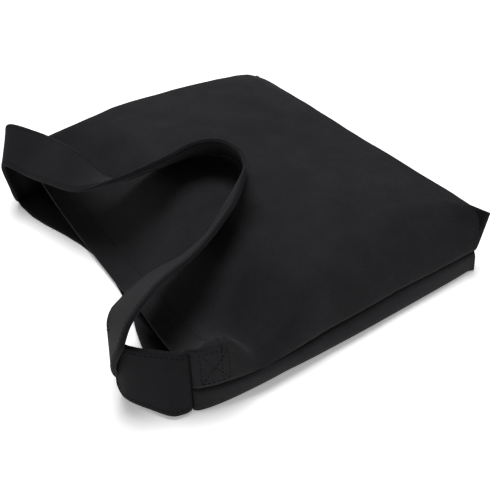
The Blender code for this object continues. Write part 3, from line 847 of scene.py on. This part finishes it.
# %% [markdown]
# The tucked ends stand against the side walls, so their stations follow the walls. Between stations each
# edge is a smooth curve that passes through every one of them. A Bezier curve could do the same, but this
# one needs no handles.

# %% The strap's middle layer
LENGTH_STEPS = 1500
TUCK_REACHES = (0.0, STRAP_TUCK / 2, STRAP_TUCK)


def tucked(side, reach):
    """The strap's edges inside the bag, standing against the side wall."""
    x = MOUTH_X + reach
    half = half_width(x)
    top = settle(Vector((x, side * (half - STRAP_INSET), STRAP_TOP)))
    return top, settle(Vector((x, side * (half - FOOT_INSET - FOOT_TURN * reach), STRAP_FOOT)))


def strap_edges():
    """Both edges at every station, from the near tucked end to the far one."""
    near = [tucked(-1, reach) for reach in reversed(TUCK_REACHES)]
    far = [tucked(1, reach) for reach in TUCK_REACHES]
    free = NEAR_TAIL + NEAR_CURL + LOOP + FAR_FOLD + FAR_TAIL
    return near + [(Vector(top), Vector(foot)) for top, foot in free] + far


def through(points, along):
    """A smooth curve through points, read at a station number that may fall between two stations."""
    first = min(len(points) - 2, max(0, int(along)))
    part = along - first
    before = points[max(0, first - 1)]
    start = points[first]
    end = points[first + 1]
    after = points[min(len(points) - 1, first + 2)]
    pull = (end - before) / 2
    push = (after - start) / 2
    square = part * part
    cube = square * part
    return ((2 * cube - 3 * square + 1) * start + (cube - 2 * square + part) * pull
            + (3 * square - 2 * cube) * end + (cube - square) * push)


TOP_EDGE, FOOT_EDGE = zip(*strap_edges())
LAST_STATION = len(TOP_EDGE) - 1


def strap_line(station, share):
    """A point of the strap's middle layer: share 0 is the upper or far edge, 1 the other edge."""
    top = through(TOP_EDGE, station)
    return top + (through(FOOT_EDGE, station) - top) * share


RUN_STATIONS = np.linspace(0, LAST_STATION, LENGTH_STEPS)
RUN_LENGTHS = run_lengths([strap_line(station, 0.5) for station in RUN_STATIONS])
STRAP_LENGTH = float(RUN_LENGTHS[-1])


def station_at(along):
    """The station number at a share of the strap's length."""
    return float(np.interp(along * STRAP_LENGTH, RUN_LENGTHS, RUN_STATIONS))


print("strap length", round(STRAP_LENGTH, 3))

# %% [markdown]
# The band is canvas folded double, so it has two flat faces and round edges with a fine line where the
# layers meet. A flat strip with Solidify would have square edges. So one closed section is carried along
# the band.

# %% Section of the strap
STRAP_ROWS = 360
STATION_STEP = 0.02
FACE_CELLS = 16
EDGE_ROUND = 0.022
EDGE_GROOVE = 0.014
HALF_STRAP = STRAP_THICKNESS / 2


def strap_section():
    """Points round the strap, as (share across, height): two faces and two round edges with a fold line."""
    face = 1 - 2 * EDGE_ROUND
    upper = [(EDGE_ROUND + face * cell / FACE_CELLS, HALF_STRAP) for cell in range(FACE_CELLS + 1)]
    edge = [(1 - 0.3 * EDGE_ROUND, 0.75 * HALF_STRAP), (1.0, 0.35 * HALF_STRAP), (1 - EDGE_GROOVE, 0.0),
            (1.0, -0.35 * HALF_STRAP), (1 - 0.3 * EDGE_ROUND, -0.75 * HALF_STRAP)]
    half = upper + edge
    return half + [(1 - share, -height) for share, height in half] + half[:1]


SECTION = strap_section()


def strap_normal(station, share):
    """Normal of the strap at a station and a share across it."""
    ahead = strap_line(min(LAST_STATION, station + STATION_STEP), share)
    run = ahead - strap_line(max(0.0, station - STATION_STEP), share)
    side = strap_line(station, 1.0) - strap_line(station, 0.0)
    return run.cross(side).normalized()


def strap_frame(station):
    """Top edge, direction across and normal of the strap at a station."""
    top = strap_line(station, 0.0)
    return top, strap_line(station, 1.0) - top, strap_normal(station, 0.5)


STRAP_FRAMES = [strap_frame(station_at(row / STRAP_ROWS)) for row in range(STRAP_ROWS + 1)]


def strap_place(along, around):
    top, side, normal = STRAP_FRAMES[round(along * STRAP_ROWS)]
    share, height = SECTION[round(around * (len(SECTION) - 1))]
    return top + side * share + normal * height


def bend_with_strap(piece):
    """Bakes the piece's place into its mesh."""
    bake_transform(piece)


# %% [markdown]
# A grid is wrapped round the section, its long seam is welded and its ends are closed, which makes one
# tube of canvas. Between its sewn ends and its loop the strap has to bend when the loop is lifted. Two
# stiff pieces would tear there, so each point keeps its station.

# %% The strap


def close_tube(piece):
    """Welds the long seam of a tube and closes its two ends."""
    deselect()
    piece.select_set(True)
    bpy.context.view_layer.objects.active = piece
    bpy.ops.object.mode_set(mode="EDIT")
    bpy.ops.mesh.select_all(action="SELECT")
    bpy.ops.mesh.remove_doubles(threshold=WELD)
    bpy.ops.mesh.select_all(action="DESELECT")
    bpy.ops.mesh.select_non_manifold()
    bpy.ops.mesh.edge_face_add()
    bpy.ops.mesh.select_all(action="SELECT")
    bpy.ops.mesh.normals_make_consistent(inside=False)
    bpy.ops.object.mode_set(mode="OBJECT")


strap = cloth_grid("shoulder_strap", STRAP_ROWS, len(SECTION) - 1, strap_place, STRAP_CANVAS)
station_layer = strap.data.attributes.new("station", "FLOAT", "POINT")
per_row = np.array([station_at(row / STRAP_ROWS) for row in range(STRAP_ROWS + 1)])
station_layer.data.foreach_set("value", np.tile(per_row, len(SECTION)).astype(np.float32))
close_tube(strap)
stations = np.empty(len(strap.data.vertices), dtype=np.float32)
strap.data.attributes["station"].data.foreach_get("value", stations)
bend_with_strap(strap)
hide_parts("near_strap_end", "far_strap_end", "strap_loop")
print("strap faces", len(strap.data.polygons))

# %% [markdown]
# The thread shows as rows of short stitches: along both edges of the strap, behind each lip, and in a
# crossed box where each end of the strap is sewn to the side of the bag. A dashed pattern in the finish
# would lie flat, so each stitch is a small arched capsule whose ends dip into the cloth.

# %% Stitches
STITCH_LENGTH = 0.0030
STITCH_PITCH = 0.0042
STITCH_RINGS = ((0.0, -0.00030, 0.00012), (0.15, 0.00000, 0.00028), (0.5, 0.00006, 0.00030),
                (0.85, 0.00000, 0.00028), (1.0, -0.00030, 0.00012))
STITCH_SIDES = 6


def stitch_path(surface, samples):
    """Stitches along surface(share), which gives a point and its normal: (start, end, normal, share)."""
    shares = np.linspace(0, 1, samples)
    found = [surface(share) for share in shares]
    run = run_lengths([point for point, normal in found])
    stitches = []
    for index in range(int(run[-1] / STITCH_PITCH)):
        ends = []
        for place in (index * STITCH_PITCH, index * STITCH_PITCH + STITCH_LENGTH):
            ends.append(float(np.interp(place, run, shares)))
        start, normal = surface(ends[0])
        end, _ = surface(ends[1])
        stitches.append((start, end, normal, ends[0]))
    return stitches


def thread(name, stitches):
    """One mesh of all these stitches."""
    points = []
    faces = []
    for start, end, normal, share in stitches:
        first = len(points)
        side = (end - start).cross(normal).normalized()
        for part, lift, radius in STITCH_RINGS:
            middle = start.lerp(end, part) + normal * lift
            for turn in range(STITCH_SIDES):
                angle = math.tau * turn / STITCH_SIDES
                points.append(middle + radius * (math.cos(angle) * side + math.sin(angle) * normal))
        for ring in range(len(STITCH_RINGS) - 1):
            low = first + ring * STITCH_SIDES
            for turn in range(STITCH_SIDES):
                after = (turn + 1) % STITCH_SIDES
                corner = low + turn
                beside = low + after
                faces.append((corner, corner + STITCH_SIDES, beside + STITCH_SIDES, beside))
        faces.append(tuple(first + turn for turn in range(STITCH_SIDES)))
        last = first + (len(STITCH_RINGS) - 1) * STITCH_SIDES
        faces.append(tuple(last + turn for turn in reversed(range(STITCH_SIDES))))
    mesh = bpy.data.meshes.new(name)
    mesh.from_pydata(points, [], faces)
    mesh.shade_smooth()
    mesh.materials.append(THREAD)
    piece = bpy.data.objects.new(name, mesh)
    bpy.context.scene.collection.objects.link(piece)
    return piece


# %% [markdown]
# Two rows run along each face of the strap, close to its edges. They ride on the strap's own stations.

# %% Stitches of the strap
EDGE_SHARE = 0.075


def on_strap(station, share, face):
    """A point on a face of the strap and its normal."""
    normal = strap_normal(station, share) * face
    return strap_line(station, share) + normal * STRAP_THICKNESS / 2, normal


strap_stitches = []
for share in (EDGE_SHARE, 1 - EDGE_SHARE):
    for face in (-1, 1):
        strap_stitches += stitch_path(lambda along: on_strap(station_at(along), share, face), LENGTH_STEPS)
strap_thread = thread("strap_thread", strap_stitches)
bend_with_strap(strap_thread)
print("strap stitches", len(strap_stitches))

# %% [markdown]
# On the bag, one row holds each hem, and the crossed boxes hold the ends of the strap. Their stitches lie
# on the outer face of the cloth, at places that are given on the flat panel or on the side wall.

# %% Stitches of the bag
HEM_LINE = 0.058
HEM_STITCH_MARGIN = 0.02
HEM_SAMPLES = 500
BOX_SAMPLES = 60
SHARE_STEP = 0.002
BOX_LOW = 0.031
BOX_HIGH = 0.062
BOX_START = MOUTH_X + 0.006
BOX_END = MOUTH_X + 0.029


def on_cloth(place, along, across):
    """A point of a laid cloth and its normal."""
    run = place(min(1.0, along + SHARE_STEP), across) - place(max(0.0, along - SHARE_STEP), across)
    side = place(along, min(1.0, across + SHARE_STEP)) - place(along, max(0.0, across - SHARE_STEP))
    return place(along, across), run.cross(side).normalized()


def hem_row(place):
    """Stitches of one row behind a lip."""
    width = 1 - 2 * HEM_STITCH_MARGIN
    return stitch_path(lambda share: on_cloth(place, HEM_LINE, HEM_STITCH_MARGIN + width * share),
                       HEM_SAMPLES)


def side_wall(x, z, sign):
    """A point on the outer face of the side wall and its normal."""
    y = sign * (half_width(x) - seam_section(x, z - SEAM_HEIGHT, sign))
    return settle(Vector((x, y, z))), Vector((0.0, sign, 0.0))


def wall_line(start, end, sign):
    """Points along a straight line on a side wall, from one (x, z) to another."""
    def surface(share):
        x = start[0] + (end[0] - start[0]) * share
        z = start[1] + (end[1] - start[1]) * share
        return side_wall(x, z, sign)
    return surface


def crossed_box(sign):
    """Stitches of the four sides and two diagonals of a box."""
    low_start, low_end = (BOX_START, BOX_LOW), (BOX_END, BOX_LOW)
    high_start, high_end = (BOX_START, BOX_HIGH), (BOX_END, BOX_HIGH)
    lines = ((low_start, low_end), (low_end, high_end), (high_end, high_start), (high_start, low_start),
             (low_start, high_end), (low_end, high_start))
    stitches = []
    for start, end in lines:
        stitches += stitch_path(wall_line(start, end, sign), BOX_SAMPLES)
    return stitches


bag_stitches = crossed_box(-1) + crossed_box(1) + hem_row(upper_place) + hem_row(lower_place)
held_by(thread("bag_thread", bag_stitches), "bag", "canvas")
print("bag stitches", len(bag_stitches))

# %% [markdown]
# The flat size of each hem and tape, before it was sewn and laid.

# %% Soft pieces
tuple(upper_hem["flat"])
tuple(lower_hem["flat"])
for tape in tapes:
    tuple(tape["flat"])
print("declared", 4 + len(tapes) + 3)

# %% [markdown]
# The photograph has no horizon: its floor is burnt out to white, and only a soft shade is left beside the
# bag. A very bright lamp could do that, but it would bleach the cloth too. So the floor is made brighter
# to the camera than it is, except where the bag keeps the light out, and it glows on the cloth as a lit
# studio floor does.

# %% White floor
FLOOR_SIZE = 8.0
FLOOR_Z = -0.0005
SHADOW_LEVEL = 0.30
FLOOR_GLOW = 0.60
FLOOR_GAIN = 1.42


def white_floor():
    """A pale floor that the camera sees as white, except where the bag keeps the light out."""
    deselect()
    bpy.ops.mesh.primitive_plane_add(size=FLOOR_SIZE, location=(0, 0, FLOOR_Z))
    floor = bpy.context.object
    floor.name = "studio_floor"
    material = bpy.data.materials.new("white_floor")
    material.use_nodes = True
    tree = material.node_tree
    shader = tree.nodes["Principled BSDF"]
    shader.inputs["Base Color"].default_value = (0.9, 0.9, 0.9, 1.0)
    shader.inputs["Roughness"].default_value = 0.9
    shader.inputs["Emission Color"].default_value = (1.0, 1.0, 1.0, 1.0)
    shader.inputs["Emission Strength"].default_value = FLOOR_GLOW
    glow = new_node(tree, "ShaderNodeEmission")
    glow.inputs["Strength"].default_value = SHADOW_LEVEL
    bright = new_node(tree, "ShaderNodeBsdfDiffuse")
    bright.inputs["Color"].default_value = (FLOOR_GAIN, FLOOR_GAIN, FLOOR_GAIN, 1.0)
    seen = new_node(tree, "ShaderNodeAddShader")
    link(tree, glow, "Emission", seen, 0)
    link(tree, bright, "BSDF", seen, 1)
    rays = new_node(tree, "ShaderNodeLightPath")
    mix = new_node(tree, "ShaderNodeMixShader")
    link(tree, rays, "Is Camera Ray", mix, "Fac")
    link(tree, shader, "BSDF", mix, 1)
    link(tree, seen, "Shader", mix, 2)
    link(tree, mix, "Shader", tree.nodes["Material Output"], "Surface")
    floor.data.materials.append(material)
    return floor


print("floor", white_floor().name)

# %% [markdown]
# One large soft key light hangs almost overhead, and a weak fill stands behind the bag. The background is
# white to the camera and in reflections, and gives the black cloth only a little light. The camera stands
# where the photograph was taken from.

# %% Room, lights and camera
ROOM_LIGHT = 0.13
LIT_PLACE = (0, 0, 0.05)
CAMERA_PLACE = (-0.3373, -0.5370, 0.4459)
AZIMUTH = math.radians(-33.68)
ELEVATION = math.radians(36.89)
LENS_MM = 50.0
SENSOR_MM = 36.0


def white_world():
    world = bpy.data.worlds.new("white_room")
    bpy.context.scene.world = world
    world.use_nodes = True
    tree = world.node_tree
    background = tree.nodes["Background"]
    rays = new_node(tree, "ShaderNodeLightPath")
    seen = combine(tree, "MAXIMUM", rays, "Is Camera Ray", rays, "Is Glossy Ray")
    clear = combine(tree, "MAXIMUM", seen, "Value", rays, "Is Transmission Ray")
    strength = new_node(tree, "ShaderNodeMapRange")
    strength.inputs["To Min"].default_value = ROOM_LIGHT
    strength.inputs["To Max"].default_value = 1.0
    link(tree, clear, "Value", strength, "Value")
    background.inputs["Color"].default_value = (1.0, 1.0, 1.0, 1.0)
    link(tree, strength, "Result", background, "Strength")


def soft_light(name, place, size, watts):
    data = bpy.data.lights.new(name, "AREA")
    data.shape = "DISK"
    data.size = size
    data.energy = watts
    lamp = bpy.data.objects.new(name, data)
    bpy.context.scene.collection.objects.link(lamp)
    lamp.location = place
    lamp.rotation_euler = (Vector(LIT_PLACE) - Vector(place)).to_track_quat("-Z", "Y").to_euler()


def photo_camera():
    data = bpy.data.cameras.new("photo_camera")
    data.lens = LENS_MM
    data.sensor_width = SENSOR_MM
    camera = bpy.data.objects.new("photo_camera", data)
    bpy.context.scene.collection.objects.link(camera)
    back = Vector((math.sin(AZIMUTH) * math.cos(ELEVATION), -math.cos(AZIMUTH) * math.cos(ELEVATION),
                   math.sin(ELEVATION)))
    camera.location = CAMERA_PLACE
    camera.rotation_euler = (-back).to_track_quat("-Z", "Y").to_euler()
    bpy.context.scene.camera = camera
    return camera


white_world()
soft_light("key_light", (-0.05, 0.22, 2.1), size=1.2, watts=29)
soft_light("fill_light", (0.8, 1.5, 1.2), size=1.6, watts=3)
camera = photo_camera()
bpy.context.scene.view_settings.view_transform = "Standard"
print("camera", tuple(round(v, 3) for v in camera.location))
